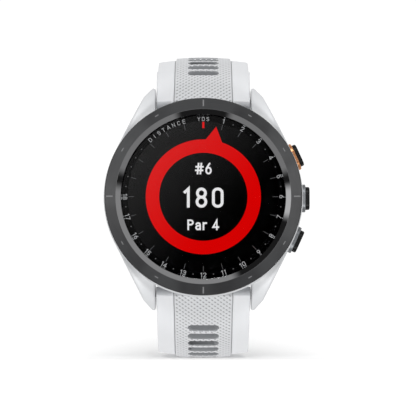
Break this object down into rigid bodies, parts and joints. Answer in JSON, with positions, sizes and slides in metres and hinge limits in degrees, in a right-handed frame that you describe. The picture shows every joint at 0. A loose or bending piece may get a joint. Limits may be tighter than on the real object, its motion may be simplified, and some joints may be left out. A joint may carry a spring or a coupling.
{
  "type": "golf gps watch",
  "caption": "Round golf GPS watch with a dark ceramic bezel, flat glass, white case with lugs, side buttons and an open white dimpled strap with a buckle.",
  "frame": {"origin": "centre of the flat sensor window that rests on the wrist", "axes": "+X to 3 o'clock, +Y out of the back towards the wrist, +Z to 12 o'clock; the dial faces -Y"},
  "size_m": [0.0441, 0.0764, 0.0681],
  "materials": {
    "case_polymer": "fine satin moulded polymer, cool white",
    "bezel_ceramic": "circular-brushed dark grey top with a polished inner chamfer",
    "lens_glass": "clear hardened glass",
    "seal_rubber": "matt black",
    "display_black": "black panel behind the glass",
    "carrier_plastic": "black moulded",
    "circuit_board": "green solder mask",
    "chip_black": "moulded packages",
    "tinned_steel": "folded tin plate",
    "battery_foil": "laminated foil",
    "motor_steel": "drawn steel",
    "antenna_copper": "plated copper",
    "led_clear": "clear resin",
    "sensor_window": "dark tinted window",
    "cover_polymer": "satin white polymer",
    "screw_steel": "bright steel",
    "contact_gold": "gold plated",
    "vent_black": "sintered disc",
    "flex_amber": "polyimide film",
    "switch_body": "moulded",
    "guard_copper": "copper-coloured plating",
    "guard_silver": "satin silver-grey",
    "cap_black": "satin black",
    "strap_silicone": "soft matt white silicone with fine dimples",
    "bar_steel": "plain steel",
    "buckle_steel": "satin steel"
  },
  "bodies": {
    "case": {"case_housing": "case_polymer", "bezel": "bezel_ceramic", "lens_glass": "lens_glass", "lens_gasket": "seal_rubber", "back_gasket": "seal_rubber", "display_panel": "display_black", "inner_chassis": "carrier_plastic", "main_board": "circuit_board", "sensor_board": "circuit_board", "board_chips": "chip_black", "shield_can": "tinned_steel", "battery": "battery_foil", "vibration_motor": "motor_steel", "gps_antenna_ring": "antenna_copper", "sensor_leds": "led_clear", "sensor_window": "sensor_window", "back_cover": "cover_polymer", "back_screws": "screw_steel", "charge_contacts": "contact_gold", "pressure_vent": "vent_black", "button_flex": "flex_amber", "tact_switches": "switch_body", "button_guard_upper": "guard_copper", "button_guard_middle": "guard_silver", "button_guard_lower": "guard_silver"},
    "strap_upper": {"strap_upper": "strap_silicone", "spring_bar_upper_tube": "bar_steel", "spring_bar_upper_fixed_pin": "bar_steel", "spring_bar_upper_spring": "bar_steel", "keeper_fixed": "strap_silicone"},
    "strap_lower": {"strap_lower": "strap_silicone", "spring_bar_lower_tube": "bar_steel", "spring_bar_lower_fixed_pin": "bar_steel", "spring_bar_lower_spring": "bar_steel"},
    "release_upper": {"spring_bar_upper_release": "bar_steel"},
    "release_lower": {"spring_bar_lower_release": "bar_steel"},
    "buckle": {"buckle_frame": "buckle_steel", "buckle_bar": "bar_steel"},
    "tongue": {"buckle_tongue": "buckle_steel"},
    "keeper": {"keeper_free": "strap_silicone"},
    "button_upper": {"button_cap_upper": "cap_black", "button_oring_upper": "seal_rubber", "button_clip_upper": "screw_steel", "switch_plunger_upper": "switch_body"},
    "button_middle": {"button_cap_middle": "cap_black", "button_oring_middle": "seal_rubber", "button_clip_middle": "screw_steel", "switch_plunger_middle": "switch_body"},
    "button_lower": {"button_cap_lower": "cap_black", "button_oring_lower": "seal_rubber", "button_clip_lower": "screw_steel", "switch_plunger_lower": "switch_body"}
  },
  "joints": [
    {"name": "button_upper_press", "type": "slide", "parent": "case", "child": "button_upper", "axis": [-0.91, 0, -0.4147], "range_m": [0, 0.00035], "stiffness_N_per_m": 1000, "springref_m": -0.0003},
    {"name": "button_middle_press", "type": "slide", "parent": "case", "child": "button_middle", "axis": [-1, 0, 0], "range_m": [0, 0.00035], "stiffness_N_per_m": 1000, "springref_m": -0.0003},
    {"name": "button_lower_press", "type": "slide", "parent": "case", "child": "button_lower", "axis": [-0.91, 0, 0.4147], "range_m": [0, 0.00035], "stiffness_N_per_m": 1000, "springref_m": -0.0003},
    {"name": "strap_upper_swing", "type": "hinge", "parent": "case", "child": "strap_upper", "pos_m": [0, -0.0036, 0.0212], "axis": [1, 0, 0], "range_deg": [-3, 30]},
    {"name": "upper_bar_release", "type": "slide", "parent": "strap_upper", "child": "release_upper", "axis": [-1, 0, 0], "range_m": [0, 0.0016], "stiffness_N_per_m": 300, "springref_m": -0.001},
    {"name": "strap_lower_swing", "type": "hinge", "parent": "case", "child": "strap_lower", "pos_m": [0, -0.0036, -0.0212], "axis": [-1, 0, 0], "range_deg": [-3, 30]},
    {"name": "lower_bar_release", "type": "slide", "parent": "strap_lower", "child": "release_lower", "axis": [-1, 0, 0], "range_m": [0, 0.0016], "stiffness_N_per_m": 300, "springref_m": -0.001},
    {"name": "buckle_swing", "type": "hinge", "parent": "strap_upper", "child": "buckle", "pos_m": [0, 0.053, 0.02039], "axis": [1, 0, 0], "range_deg": [-50, 50]},
    {"name": "tongue_lift", "type": "hinge", "parent": "buckle", "child": "tongue", "pos_m": [0, 0.053, 0.02039], "axis": [1, 0, 0], "range_deg": [0, 75]},
    {"name": "keeper_slide", "type": "slide", "parent": "strap_upper", "child": "keeper", "axis": [0, 0.9063, -0.4226], "range_m": [-0.001, 0.0055]}
  ]
}
